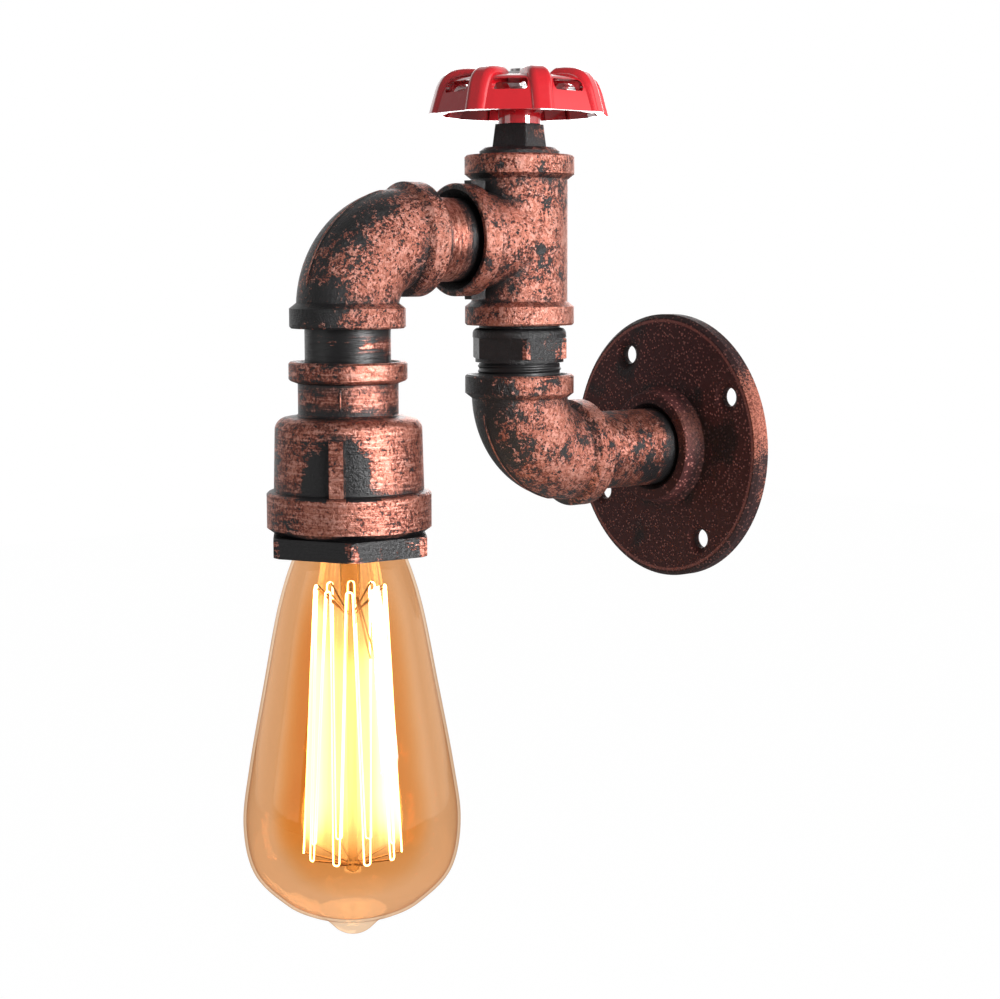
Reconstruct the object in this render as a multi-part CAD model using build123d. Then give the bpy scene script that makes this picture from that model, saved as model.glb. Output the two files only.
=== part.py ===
from build123d import *
import math
import os

# Industrial pipe wall light.
# Origin: centre of the wall flange's back face. The wall is the plane y = 0, the arm comes out
# along -Y, +Z is up, and every pipe axis lies in the plane x = 0. Sizes are in millimetres.

# ---- pipe and threaded joints --------------------------------------------------------------------
pipe_r = 13.35              # three-quarter-inch pipe, 26.7 outside
pipe_bore_r = 10.4
thread_engage = 12.0        # how far a pipe end screws into a fitting
thread_gap = 0.05           # radial gap of a made-up joint
socket_floor_gap = 0.4      # a pipe end stops this far short of its socket's floor
pipe_chamfer = 0.8

# ---- cast fittings -------------------------------------------------------------------------------
body_r = 15.85              # elbow and tee body
band_r = 18.0               # reinforcing band round each mouth
band_height = 6.1
band_slope = 1.7            # cast slope from the band down to the body
band_sink = 1.2             # the slope's foot lies this far inside the body
cast_edge = 0.6             # worn outer edges
mouth_r = 16.1              # countersunk mouth of each socket
mouth_depth = 2.4
elbow_reach = 27.4          # elbow centre to each end
elbow_bend_r = 21.5
tee_reach = 27.6            # tee centre to each end
branch_body_r = 15.7        # the branch is cast a little slimmer than the run
branch_bore_r = 10.2
gusset_width = 3.6          # web under and over the tee's branch band
gusset_reach = 3.2          # how far the web stands out past the run's body

# ---- wall flange ---------------------------------------------------------------------------------
flange_r = 46.2
flange_plate = 5.85
flange_bevel = 1.3
flange_back_edge = 0.6
back_hollow_depth = 2.2     # the cast plate is hollow behind its screw holes
back_hollow_in_r = 22.0
back_hollow_out_r = 42.0
back_hollow_slope = 1.2
hub_height = 12.3           # hub front above the wall
hub_r = 19.3
hub_draft = 0.8             # the hub is this much wider at its foot
hub_foot = 1.1              # blend from hub to plate
hub_mouth_r = 15.2          # countersunk mouth of the hub's thread
hub_mouth_depth = 1.7
bolt_circle_r = 36.5
bolt_hole_r = 3.3
bolt_sink_r = 5.3           # cast countersink at the front
bolt_sink_depth = 1.4
bolt_count = 4
bolt_turn = 30.5            # degrees from +X towards +Z

# ---- how much of each pipe shows between its fittings --------------------------------------------
wall_nipple_show = 31.5
branch_nipple_show = 13.8
lamp_nipple_show = 10.25

# ---- hexagon nipple ------------------------------------------------------------------------------
nipple_thread_show = 5.3
nipple_hex_flats = 28.85
nipple_hex_height = 6.9
nipple_hex_turn = 28.5
nipple_shoulder_r = 15.5
nipple_shoulder_height = 3.1
nipple_neck_gap = 0.95      # thread seen between the shoulder and the tee
nipple_relief = 0.6         # undercut below the hexagon
nipple_collar_r = 14.6      # round foot of the hexagon
nipple_collar_height = 1.2

# ---- reducer (bell) over the lampholder ----------------------------------------------------------
bell_top_band_r = 18.4
bell_top_band_height = 5.9
bell_neck_r = 15.6
bell_neck_length = 10.7
bell_neck_bore_r = 12.2
bell_shoulder_r = 22.9
bell_shoulder_drop = 4.0    # height of the rounded shoulder
bell_body_length = 23.7     # shoulder top to the bottom band
bell_body_r = 23.4          # at the foot of the body
bell_foot_band_r = 25.65
bell_foot_band_height = 11.0
bell_foot_bevel = 2.0
bell_foot_bevel_in = 2.85
bell_wall = 3.0
bell_roof = 6.8             # shoulder top to the chamber's ceiling
bell_roof_slope = 2.0       # sloped corner of the ceiling
bell_socket_r = 21.6        # bottom thread
bell_socket_depth = 13.7
bell_rib_width = 4.4
bell_rib_reach = 1.9
bell_rib_length = 17.5
bell_rib_turn = -43.6       # parting plane, degrees from +X

# ---- hexagon end ring ----------------------------------------------------------------------------
ring_hex_flats = 47.0
ring_hex_height = 6.2
ring_hex_turn = 26.4
ring_corner_wear = 0.9
ring_spigot_height = 10.0
ring_bore_r = 17.6
ring_mouth_r = 20.3

# ---- lampholder (E27) ----------------------------------------------------------------------------
cap_r = 13.2                # outside of the lamp cap's thread
cap_clear = 0.35            # radial play of the cap in the screw shell
cap_seat_above_step = 10.0  # lamp contact tip above the holder flange's seat
shell_wall = 0.6
holder_flange_gap = 0.3     # radial gap of the holder's flange in the bell
holder_r = 19.4
holder_top_r = 16.0
holder_lower_height = 9.0   # flange seat to the holder's shoulder
holder_floor = 3.5          # thickness of the holder's inner floor
contact_room = 2.2          # tip of the lamp to the holder's floor
shell_hole_r = 7.0
shell_fit = 0.1
terminal_width = 6.0
terminal_height = 5.5
terminal_x = 4.6
terminal_foot = 1.0
rivet_r = 1.2
neutral_rivet_x = 9.0
screw_r = 1.4
screw_head_r = 2.4
screw_head_height = 1.6
screw_slot = 0.6
leaf_thick = 0.5
leaf_width = 6.0
leaf_reach = 6.2            # riveted end of the leaf, from the lamp's axis
leaf_bow = 2.6              # where it starts to bow down
leaf_tip = 0.9              # half of the flat that meets the lamp

# ---- wiring --------------------------------------------------------------------------------------
wire_r = 1.1
conductor_r = 0.7
wire_bare_above = 0.5       # insulation stops this far above its terminal
wire_bare_depth = 3.6       # copper inside the terminal
wire_hole_r = 0.8
wire_end_inset = 0.5        # cut end inside the wall plane
wire_corner_share = 0.45    # arc radius as a share of the shortest run

# ---- top plug and handwheel ----------------------------------------------------------------------
plug_disc_r = 13.1
plug_disc_top_r = 11.5
plug_disc_height = 2.45
plug_disc_slope = 1.1       # height of the disc's sloped edge
plug_square_side = 13.3
plug_square_draft = 0.75    # taken off each side of the square at the top
plug_square_height = 7.6
plug_square_turn = 20.0
plug_cavity_r = 8.5
plug_cavity_roof = 2.6      # ceiling of the hollow, below the disc's top
spindle_r = 3.0
spindle_clear = 0.06
spindle_head_flats = 10.0
spindle_head_height = 4.0
washer_r = 6.2
washer_thick = 1.2
nut_flats = 10.0
nut_height = 5.0
spindle_end = 1.0           # thread past the nut
play = 0.05                 # axial play of the turning parts

wheel_sides = 8
wheel_turn = 20.8           # a rib's direction, degrees from +X
wheel_flat_r = 27.7         # centre to the middle of a side
wheel_skirt_rise = 2.85     # skirt's edge above the hub's foot
wheel_skirt_height = 5.0
wheel_skirt_lean = 1.4      # the skirt draws in this much over its height
wheel_wall = 2.4
wheel_crest_r = 16.8
wheel_crest_height = 11.6
wheel_lip_r = 13.6          # inner edge of the top ring
lip_round = 0.8
wheel_hub_r = 7.2
wheel_hub_height = 10.5
wheel_hub_draft = 0.3
rib_width = 7.6
rib_rise = 2.9              # the ribs stand up like knuckles over the top ring
rib_round = 2.4
window_low = 6.3            # above the skirt's edge
window_high = 9.9
window_width = 11.6
window_corner = 1.2
arm_count = 4
arm_width = 4.6
arm_thick = 5.8             # height of an arm where it meets the hub
arm_sink = 1.2              # how far an arm runs into the hub and the ring
arm_low = 2.6               # lower edge of an arm at the hub, above the hub's foot

# ---- lamp ----------------------------------------------------------------------------------------
glass_wall = 0.9
cap_length = 25.0           # contact tip to the cap's skirt
cap_wall = 0.35
cap_contact_r = 4.6
cap_contact_height = 1.3
cap_insulator_height = 3.5
cap_insulator_top_r = 5.6
glass_neck_gap = 0.15
glass_in_cap = 8.0
glass_mouth_r = 17.1        # where it leaves the end ring
glass_mouth_drop = 30.0
cone_top_r = 22.4           # long cone of the envelope
cone_top_drop = 46.0
cone_foot_r = 32.3
cone_foot_drop = 98.2
widest_r = 34.4
widest_drop = 116.0
round_r = 31.7              # two places on the round end
round_drop = 130.7
low_round_r = 23.2
low_round_drop = 140.8
tip_r = 12.0                # where the exhaust tip leaves the round end
round_end_drop = 146.2
tip_length = 6.6
tip_waist = 0.56            # tip's half-way radius as a share of its root
stem_flare_r = 11.2
stem_r = 3.2
stem_press_drop = 44.0
rod_r = 1.5
bead_r = 2.4
fine_wire_r = 0.3
filament_r = 0.26
hairpins = 10
filament_top_r = 11.4
filament_top_drop = 41.0
filament_foot_r = 15.6
filament_foot_drop = 126.5
filament_bend_r = 0.9
hook_bead_drop = 51.0
star_drop = 130.5
lead_end_r = 12.6           # the filament's ends, where the lead wires hold them
lead_end_drop = 62.0
seat_gap = 0.1

# ---- places worked out from the sizes ------------------------------------------------------------
socket_r = pipe_r + thread_gap
socket_depth = thread_engage + socket_floor_gap
riser_y = -(hub_height + wall_nipple_show + elbow_reach)
nipple_hex_z = elbow_reach + nipple_thread_show
nipple_top_z = nipple_hex_z + nipple_hex_height + nipple_shoulder_height
tee_foot_z = nipple_top_z + nipple_neck_gap
arm_z = tee_foot_z + tee_reach
tee_top_z = arm_z + tee_reach
lamp_y = riser_y - tee_reach - branch_nipple_show - elbow_reach
bell_top_z = arm_z - elbow_reach - lamp_nipple_show
bell_shoulder_z = bell_top_z - bell_top_band_height - bell_neck_length
bell_band_z = bell_shoulder_z - bell_body_length
bell_foot_z = bell_band_z - bell_foot_band_height - bell_foot_bevel
bell_step_z = bell_foot_z + bell_socket_depth
bell_roof_z = bell_shoulder_z - bell_roof
bell_chamber_r = bell_body_r - bell_wall
ring_top_z = bell_foot_z + ring_spigot_height
cap_tip_z = bell_step_z + cap_seat_above_step
holder_floor_z = cap_tip_z + contact_room
holder_top_z = holder_floor_z + holder_floor
shell_r = cap_r + cap_clear
plug_top_z = tee_top_z + plug_disc_height + plug_square_height
plug_roof_z = tee_top_z + plug_disc_height - plug_cavity_roof
hub_foot_z = plug_top_z + play
wheel_edge_z = hub_foot_z + wheel_skirt_rise
hub_top_z = hub_foot_z + wheel_hub_height


def turned(outline, arc=360):
    """A solid turned about Z from a closed outline of (radius, height) points and arcs."""
    return revolve(Plane.XZ * make_face(outline), axis=Axis.Z, revolution_arc=arc)


def ring_outline(points):
    """A closed outline through (radius, height) points."""
    return Polyline(*points, close=True)


def cylinder(radius, low, high):
    """An upright cylinder between two heights."""
    return Pos(0, 0, low) * extrude(Circle(radius), high - low)


def prism(face, low, high):
    """An upright prism between two heights."""
    return Pos(0, 0, low) * extrude(face, high - low)


def to_wall_axis(part):
    """Lay an upright part down so that its +Z points out of the wall, along -Y."""
    return Rot(90, 0, 0) * part


def socket_cut(reach):
    """The threaded socket and its countersunk mouth in a fitting's end at height reach."""
    points = [
        (0, reach - socket_depth), (socket_r, reach - socket_depth),
        (socket_r, reach - mouth_depth), (mouth_r, reach), (mouth_r, reach + 1), (0, reach + 1)]
    return turned(ring_outline(points))


def band(reach):
    """The reinforcing band round a fitting's end, with its cast slope sunk into the body."""
    sunk_r = body_r - band_sink
    slope = band_slope * (band_r - sunk_r) / (band_r - body_r)
    points = [
        (0, reach - band_height - slope), (sunk_r, reach - band_height - slope),
        (band_r, reach - band_height), (band_r, reach - cast_edge), (band_r - cast_edge, reach),
        (0, reach)]
    return turned(ring_outline(points))


def nipple(length):
    """A pipe nipple standing on z = 0, with chamfered ends."""
    points = [
        (pipe_bore_r, 0), (pipe_r - pipe_chamfer, 0), (pipe_r, pipe_chamfer),
        (pipe_r, length - pipe_chamfer), (pipe_r - pipe_chamfer, length), (pipe_bore_r, length)]
    return turned(ring_outline(points))


def hexagon(flats, turn):
    """A hexagon of the given size across flats, turned by degrees."""
    return Rot(0, 0, turn) * RegularPolygon(flats / 2, 6, major_radius=False)


def worn_hexagon(flats, turn, low, high, wear):
    """A hexagon prism whose corners are worn down to a cone at both ends."""
    corner = flats / math.sqrt(3)
    points = [
        (0, low), (corner - wear, low), (corner + 0.01, low + wear * 0.6),
        (corner + 0.01, high - wear * 0.6), (corner - wear, high), (0, high)]
    return prism(hexagon(flats, turn), low, high) & turned(ring_outline(points))


# ---- wall flange ---------------------------------------------------------------------------------
def make_wall_flange():
    """Round cast plate with a raised hub, a through thread and four screw holes."""
    foot_r = hub_r + hub_draft
    points = [
        (socket_r, 0), (flange_r - flange_back_edge, 0), (flange_r, flange_back_edge),
        (flange_r, flange_plate - flange_bevel), (flange_r - flange_bevel, flange_plate),
        (foot_r + hub_foot, flange_plate), (foot_r, flange_plate + hub_foot),
        (hub_r, hub_height - cast_edge), (hub_r - cast_edge, hub_height),
        (hub_mouth_r, hub_height), (socket_r, hub_height - hub_mouth_depth)]
    hollow = [
        (back_hollow_in_r, -1), (back_hollow_in_r, 0),
        (back_hollow_in_r + back_hollow_slope, back_hollow_depth),
        (back_hollow_out_r - back_hollow_slope, back_hollow_depth),
        (back_hollow_out_r, 0), (back_hollow_out_r, -1)]
    plate = turned(ring_outline(points)) - turned(ring_outline(hollow))
    hole_points = [
        (0, -1), (bolt_hole_r, -1), (bolt_hole_r, flange_plate - bolt_sink_depth),
        (bolt_sink_r, flange_plate), (bolt_sink_r, hub_height), (0, hub_height)]
    hole = turned(ring_outline(hole_points))
    for place in PolarLocations(bolt_circle_r, bolt_count, start_angle=bolt_turn):
        plate -= place * hole
    return to_wall_axis(plate)


# ---- elbow and tee -------------------------------------------------------------------------------
def bend(radius):
    """A quarter bend of a round bar from the +Y arm to the +Z arm about the elbow's centre."""
    section = Pos(0, elbow_bend_r, 0) * (Plane.XZ * Circle(radius))
    return revolve(section, axis=Axis((0, elbow_bend_r, elbow_bend_r), (-1, 0, 0)), revolution_arc=90)


def make_elbow():
    """A banded right-angle elbow with its centre at the origin, open towards +Z and +Y."""
    to_y = Rot(-90, 0, 0)
    end_band = band(elbow_reach)
    outside = bend(body_r) + end_band + to_y * end_band
    bore = cylinder(pipe_bore_r, elbow_bend_r, elbow_reach)
    socket = socket_cut(elbow_reach)
    return outside - (bend(pipe_bore_r) + bore + to_y * bore + socket + to_y * socket)


def make_tee():
    """A banded tee with its centre at the origin: run along Z, branch towards -Y."""
    to_branch = Rot(90, 0, 0)
    low_end = Rot(180, 0, 0)
    body_reach = tee_reach - band_height
    end_band = band(tee_reach)
    run = cylinder(body_r, -body_reach, body_reach)
    outside = run + to_branch * cylinder(branch_body_r, 0, body_reach)
    outside += end_band + low_end * end_band + to_branch * end_band
    web_start = body_r - band_sink
    web = Box(gusset_width, body_reach - web_start, 2 * (body_r + gusset_reach))
    outside += Pos(0, -(web_start + body_reach) / 2, 0) * web
    socket = socket_cut(tee_reach)
    bore = cylinder(pipe_bore_r, -tee_reach, tee_reach)
    inside = bore + to_branch * cylinder(branch_bore_r, 0, tee_reach)
    return outside - (inside + socket + low_end * socket + to_branch * socket)


# ---- hexagon nipple ------------------------------------------------------------------------------
def make_hex_nipple():
    """Threaded both ends, with a hexagon and a rounded shoulder under the tee."""
    low = elbow_reach - thread_engage
    high = tee_foot_z + thread_engage
    hex_top = nipple_hex_z + nipple_hex_height
    collar_z = nipple_hex_z - nipple_collar_height
    lower = [
        (0, low), (pipe_r - pipe_chamfer, low), (pipe_r, low + pipe_chamfer),
        (pipe_r, collar_z - 2 * nipple_relief), (pipe_r - nipple_relief, collar_z - nipple_relief),
        (pipe_r - nipple_relief, collar_z), (nipple_collar_r, collar_z),
        (nipple_collar_r, nipple_hex_z), (0, nipple_hex_z)]
    shoulder = (
        Polyline((0, nipple_top_z), (0, hex_top), (nipple_shoulder_r, hex_top),
                 (nipple_shoulder_r, hex_top + nipple_shoulder_height * 0.4))
        + ThreePointArc(
            (nipple_shoulder_r, hex_top + nipple_shoulder_height * 0.4),
            (nipple_shoulder_r - 0.35, hex_top + nipple_shoulder_height * 0.75),
            (nipple_shoulder_r - 1.6, nipple_top_z))
        + Line((nipple_shoulder_r - 1.6, nipple_top_z), (0, nipple_top_z)))
    upper = [
        (0, nipple_top_z), (pipe_r, nipple_top_z), (pipe_r, high - pipe_chamfer),
        (pipe_r - pipe_chamfer, high), (0, high)]
    body = turned(ring_outline(lower)) + turned(ring_outline(upper)) + turned(shoulder)
    body += worn_hexagon(nipple_hex_flats, nipple_hex_turn, nipple_hex_z, hex_top, cast_edge)
    return Pos(0, riser_y, 0) * (body - cylinder(pipe_bore_r, low - 1, high + 1))


# ---- reducer bell --------------------------------------------------------------------------------
def make_reducer():
    """Bell reducer: pipe socket above, rounded shoulder, ribbed body and a wide threaded foot."""
    band_low = bell_top_z - bell_top_band_height
    flat_r = bell_shoulder_r - bell_shoulder_drop
    arc_in = bell_shoulder_drop * (1 - math.cos(math.radians(45)))
    arc_low = bell_shoulder_z - 0.5
    outside = (
        Polyline(
            (0, bell_foot_z), (bell_foot_band_r - bell_foot_bevel_in, bell_foot_z),
            (bell_foot_band_r, bell_foot_z + bell_foot_bevel), (bell_foot_band_r, bell_band_z - cast_edge),
            (bell_foot_band_r - cast_edge, bell_band_z), (bell_body_r, bell_band_z + cast_edge),
            (bell_shoulder_r, arc_low - bell_shoulder_drop))
        + ThreePointArc(
            (bell_shoulder_r, arc_low - bell_shoulder_drop), (bell_shoulder_r - arc_in, arc_low - arc_in),
            (flat_r, arc_low))
        + Polyline(
            (flat_r, arc_low), (bell_neck_r + 0.5, bell_shoulder_z), (bell_neck_r, bell_shoulder_z + 0.5),
            (bell_neck_r, band_low - band_slope / 2), (bell_top_band_r - cast_edge, band_low),
            (bell_top_band_r, band_low + cast_edge), (bell_top_band_r, bell_top_z - cast_edge),
            (bell_top_band_r - cast_edge, bell_top_z), (0, bell_top_z), (0, bell_foot_z)))
    bell = turned(outside)
    rib_top = bell_band_z + bell_rib_length
    rib_r = bell_shoulder_r + bell_rib_reach
    rib_plan = Rectangle(rib_r, bell_rib_width, align=(Align.MIN, Align.CENTER))
    for turn in (bell_rib_turn, bell_rib_turn + 180):
        bell += Rot(0, 0, turn) * prism(rib_plan, bell_band_z - cast_edge, rib_top)
    socket_floor_z = bell_top_z - socket_depth
    inside = [
        (0, bell_foot_z - 1), (bell_socket_r, bell_foot_z - 1), (bell_socket_r, bell_step_z),
        (bell_chamber_r, bell_step_z), (bell_chamber_r, bell_roof_z - bell_roof_slope),
        (bell_chamber_r - bell_roof_slope, bell_roof_z), (bell_neck_bore_r, bell_roof_z),
        (bell_neck_bore_r, socket_floor_z), (0, socket_floor_z)]
    bell -= turned(ring_outline(inside))
    return Pos(0, lamp_y, 0) * (bell - socket_cut(bell_top_z))


def make_end_ring():
    """Hexagon ring that screws into the bell and clamps the lampholder's flange."""
    low = bell_foot_z - ring_hex_height
    spigot_r = bell_socket_r - thread_gap
    ring = worn_hexagon(ring_hex_flats, ring_hex_turn, low, bell_foot_z, ring_corner_wear)
    spigot = [
        (0, bell_foot_z), (spigot_r, bell_foot_z), (spigot_r, ring_top_z - pipe_chamfer),
        (spigot_r - pipe_chamfer, ring_top_z), (0, ring_top_z)]
    ring += turned(ring_outline(spigot))
    bore = [
        (0, low - 1), (ring_mouth_r, low - 1), (ring_mouth_r, low + 1), (ring_bore_r, low + ring_hex_height),
        (ring_bore_r, ring_top_z + 1), (0, ring_top_z + 1)]
    return Pos(0, lamp_y, 0) * (ring - turned(ring_outline(bore)))


# ---- lampholder ----------------------------------------------------------------------------------
def make_holder_body():
    """Porcelain body: a flange clamped by the end ring, a cup round the screw shell and a base."""
    shoulder_z = bell_step_z + holder_lower_height
    cup_r = shell_r + shell_wall + shell_fit
    points = [
        (cup_r, ring_top_z), (bell_socket_r - holder_flange_gap, ring_top_z),
        (bell_socket_r - holder_flange_gap, bell_step_z), (holder_r, bell_step_z),
        (holder_r, shoulder_z - cast_edge), (holder_top_r, shoulder_z + cast_edge),
        (holder_top_r, holder_top_z - cast_edge), (holder_top_r - cast_edge, holder_top_z),
        (0, holder_top_z), (0, holder_floor_z), (cup_r, holder_floor_z)]
    body = turned(ring_outline(points))
    for x in (-terminal_x, neutral_rivet_x):
        body -= Pos(x, 0, 0) * cylinder(rivet_r + thread_gap, holder_floor_z - 1, holder_top_z + 1)
    return Pos(0, lamp_y, 0) * body


def make_screw_shell():
    """Pressed screw shell with a holed top, riveted under the holder's floor."""
    out_r = shell_r + shell_wall
    low = ring_top_z + shell_fit
    points = [
        (shell_r, low), (out_r, low), (out_r, holder_floor_z), (shell_hole_r, holder_floor_z),
        (shell_hole_r, holder_floor_z - shell_wall), (shell_r, holder_floor_z - shell_wall)]
    rivet_hole = cylinder(rivet_r + thread_gap, holder_floor_z - 2 * shell_wall, holder_top_z)
    return Pos(0, lamp_y, 0) * (turned(ring_outline(points)) - Pos(neutral_rivet_x, 0, 0) * rivet_hole)


def make_centre_contact():
    """Sprung leaf that bows down from the holder's floor to the lamp's tip."""
    flat_z = holder_floor_z - leaf_thick / 2
    bow_z = cap_tip_z + play + leaf_thick / 2
    bow = Polyline(
        (-leaf_reach, flat_z), (-leaf_bow, flat_z), (-leaf_tip, bow_z), (leaf_tip, bow_z),
        (leaf_bow, flat_z - leaf_thick))
    leaf = extrude(Plane.XZ * trace(bow, leaf_thick), leaf_width / 2, both=True)
    inside_shell = cylinder(shell_hole_r - 0.3, cap_tip_z, holder_floor_z)
    return Pos(0, lamp_y, 0) * (leaf & inside_shell)


def make_terminal(side, rivet_x, rivet_end_z):
    """Brass block on the holder's top with a foot and a rivet that carries the current down."""
    block_top = holder_top_z + terminal_height
    block_mid = holder_top_z + terminal_height / 2
    centre = side * terminal_x
    block = Pos(centre, 0, block_mid) * Box(terminal_width, terminal_width, terminal_height)
    foot_z = holder_top_z + terminal_foot / 2
    reach = abs(rivet_x) - terminal_x + rivet_r + terminal_foot
    foot = Box(reach, terminal_width * 0.8, terminal_foot)
    block += Pos(side * (terminal_x + reach / 2), 0, foot_z) * foot
    block += Pos(rivet_x, 0, 0) * cylinder(rivet_r, rivet_end_z, foot_z)
    hole_floor = block_top - wire_bare_depth - socket_floor_gap
    block -= Pos(centre, 0, 0) * cylinder(wire_hole_r, hole_floor, block_top + 1)
    screw_z = block_top - wire_bare_depth / 2
    block -= Pos(centre, 0, screw_z) * Rot(90, 0, 0) * cylinder(screw_r + thread_gap, 0, terminal_width)
    return Pos(0, lamp_y, 0) * block


def make_terminal_screws():
    """Two slotted screws that clamp the copper in the terminals."""
    slot = Pos(0, 0, screw_head_height) * Box(2 * screw_head_r + 1, screw_slot, 2 * screw_slot)
    shank_start = wire_hole_r + thread_gap
    head_z = terminal_width / 2
    screw = cylinder(screw_r, shank_start, head_z)
    screw += cylinder(screw_head_r, head_z, head_z + screw_head_height)
    screw -= Pos(0, 0, head_z) * slot
    screw_z = holder_top_z + terminal_height - wire_bare_depth / 2
    pair = [Pos(side * terminal_x, lamp_y, screw_z) * Rot(90, 0, 0) * screw for side in (-1, 1)]
    return Compound(children=pair)


def make_wire(x):
    """One insulated wire from its terminal through every bore to the wall."""
    start_z = holder_top_z + terminal_height + wire_bare_above
    points = [
        (x, lamp_y, start_z), (x, lamp_y, arm_z), (x, riser_y, arm_z), (x, riser_y, 0),
        (x, -wire_end_inset, 0)]
    runs = [math.dist(points[i], points[i + 1]) for i in range(len(points) - 1)]
    bend_r = wire_corner_share * min(runs)
    route = FilletPolyline(*points, radius=bend_r)
    section = Pos(x, lamp_y, start_z) * Circle(wire_r)
    wire = sweep(section, path=route)
    print("wire at x =", x, "length", round(route.length, 1), "bend radius", round(bend_r, 1),
          "volume / (section x length)", round(wire.volume / (math.pi * wire_r ** 2 * route.length), 4))
    bare_end = start_z - wire_bare_above - wire_bare_depth
    return wire + Pos(x, lamp_y, 0) * cylinder(conductor_r, bare_end, start_z)


# ---- top plug ------------------------------------------------------------------------------------
def make_top_plug():
    """Square-headed plug, hollow below, bored for the handwheel's spindle."""
    low = tee_top_z - thread_engage
    disc_top = tee_top_z + plug_disc_height
    points = [
        (plug_cavity_r, low), (pipe_r - pipe_chamfer, low), (pipe_r, low + pipe_chamfer),
        (pipe_r, tee_top_z), (plug_disc_r, tee_top_z), (plug_disc_r, disc_top - plug_disc_slope),
        (plug_disc_top_r, disc_top), (0, disc_top), (0, plug_roof_z), (plug_cavity_r, plug_roof_z)]
    small = plug_square_side - 2 * plug_square_draft
    foot = Pos(0, 0, disc_top - 0.2) * RectangleRounded(plug_square_side, plug_square_side, cast_edge)
    top = Pos(0, 0, plug_top_z) * RectangleRounded(small, small, cast_edge)
    square = Rot(0, 0, plug_square_turn) * loft([foot, top])
    bore = cylinder(spindle_r + spindle_clear, low, plug_top_z + 1)
    return Pos(0, riser_y, 0) * (turned(ring_outline(points)) + square - bore)


# ---- handwheel -----------------------------------------------------------------------------------
def bowl_curve(out, up):
    """Skirt, rounded shoulder and crest as one smooth line, moved out and up by the given amounts."""
    skirt_r = wheel_flat_r + out
    knee_z = wheel_edge_z + wheel_skirt_height
    crest_z = wheel_edge_z + wheel_crest_height + up
    shoulder = (wheel_crest_r + (skirt_r - wheel_crest_r) * 0.72, knee_z + (crest_z - knee_z) * 0.62)
    return Spline(
        (skirt_r, wheel_edge_z), (skirt_r - wheel_skirt_lean, knee_z), shoulder, (wheel_crest_r, crest_z),
        tangents=((-wheel_skirt_lean / wheel_skirt_height, 1), (-1, 0)))


def wall_section(out, up, wall, lip_drop):
    """Closed side view of a cast wall whose outside is the bowl's curve, moved out and up."""
    outer = bowl_curve(out, up)
    inner = bowl_curve(out - wall, up - wall)
    top = outer @ 1
    lip = Polyline(
        top, (wheel_lip_r + lip_drop, top.Y), (wheel_lip_r, top.Y - lip_drop),
        (wheel_lip_r, (inner @ 1).Y), inner @ 1)
    return outer + inner + Line(inner @ 0, outer @ 0) + lip


def make_handwheel():
    """Eight-sided cast bowl with rounded ribs, windows between them and four sloping arms to the hub."""
    step = 360 / wheel_sides
    half_side = wheel_flat_r * math.tan(math.pi / wheel_sides)
    side = Plane.XZ * make_face(wall_section(0, 0, wheel_wall, lip_round))
    side = extrude(side, half_side + 1, both=True)
    reach = 2 * wheel_flat_r
    half_reach = reach * math.tan(math.pi / wheel_sides)
    wedge = make_face(Polyline((0, 0), (reach, -half_reach), (reach, half_reach), close=True))
    side &= prism(wedge, wheel_edge_z - 1, wheel_edge_z + wheel_crest_height + 1)
    window_mid = wheel_edge_z + (window_low + window_high) / 2
    hole = RectangleRounded(window_width, window_high - window_low, window_corner)
    side -= Pos(wheel_crest_r - wheel_wall, 0, window_mid) * extrude(Plane.YZ * hole, wheel_flat_r)
    corner_out = wheel_flat_r * (1 / math.cos(math.pi / wheel_sides) - 1)
    rib = Plane.XZ * make_face(wall_section(corner_out, rib_rise, wheel_wall + rib_rise, 2 * lip_round))
    rib = extrude(rib, rib_width / 2, both=True)
    crown = bowl_curve(corner_out, rib_rise)
    long_edges = [e for e in rib.edges() if abs(e.length - crown.length) < 0.01]
    rib = fillet(long_edges, rib_round)
    hub_points = [
        (spindle_r + play, hub_foot_z), (wheel_hub_r - wheel_hub_draft, hub_foot_z),
        (wheel_hub_r, hub_top_z - lip_round), (wheel_hub_r - lip_round, hub_top_z),
        (spindle_r + play, hub_top_z)]
    arm_foot = hub_foot_z + arm_low
    arm_head = wheel_edge_z + wheel_crest_height - wheel_wall
    arm_in = wheel_hub_r - arm_sink
    arm_out = wheel_crest_r - arm_sink
    arm = Polyline(
        (arm_in, arm_foot), (arm_out, arm_head), (arm_out, arm_head + arm_sink),
        (wheel_lip_r, arm_head + arm_sink), (arm_in, arm_foot + arm_thick), close=True)
    arm = extrude(Plane.XZ * make_face(arm), arm_width / 2, both=True)
    wheel = turned(ring_outline(hub_points))
    for i in range(wheel_sides):
        wheel += Rot(0, 0, (i + 0.5) * step) * side
        wheel += Rot(0, 0, i * step) * rib
    for i in range(arm_count):
        wheel += Rot(0, 0, i * 360 / arm_count) * arm
    return Pos(0, riser_y, 0) * Rot(0, 0, wheel_turn) * wheel


def make_spindle():
    """Hexagon-headed bolt that hangs the handwheel in the plug's bore."""
    head_top = plug_roof_z - play - washer_thick
    end = hub_top_z + washer_thick + nut_height + spindle_end
    shank = cylinder(spindle_r, head_top, end)
    head = worn_hexagon(spindle_head_flats, 0, head_top - spindle_head_height, head_top, 0.5)
    return Pos(0, riser_y, 0) * (shank + head)


def make_washer(low):
    """Flat washer round the spindle, with its underside at height low."""
    disc = cylinder(washer_r, low, low + washer_thick)
    hole = cylinder(spindle_r + spindle_clear, low - 1, low + 2 * washer_thick)
    return Pos(0, riser_y, 0) * (disc - hole)


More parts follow.
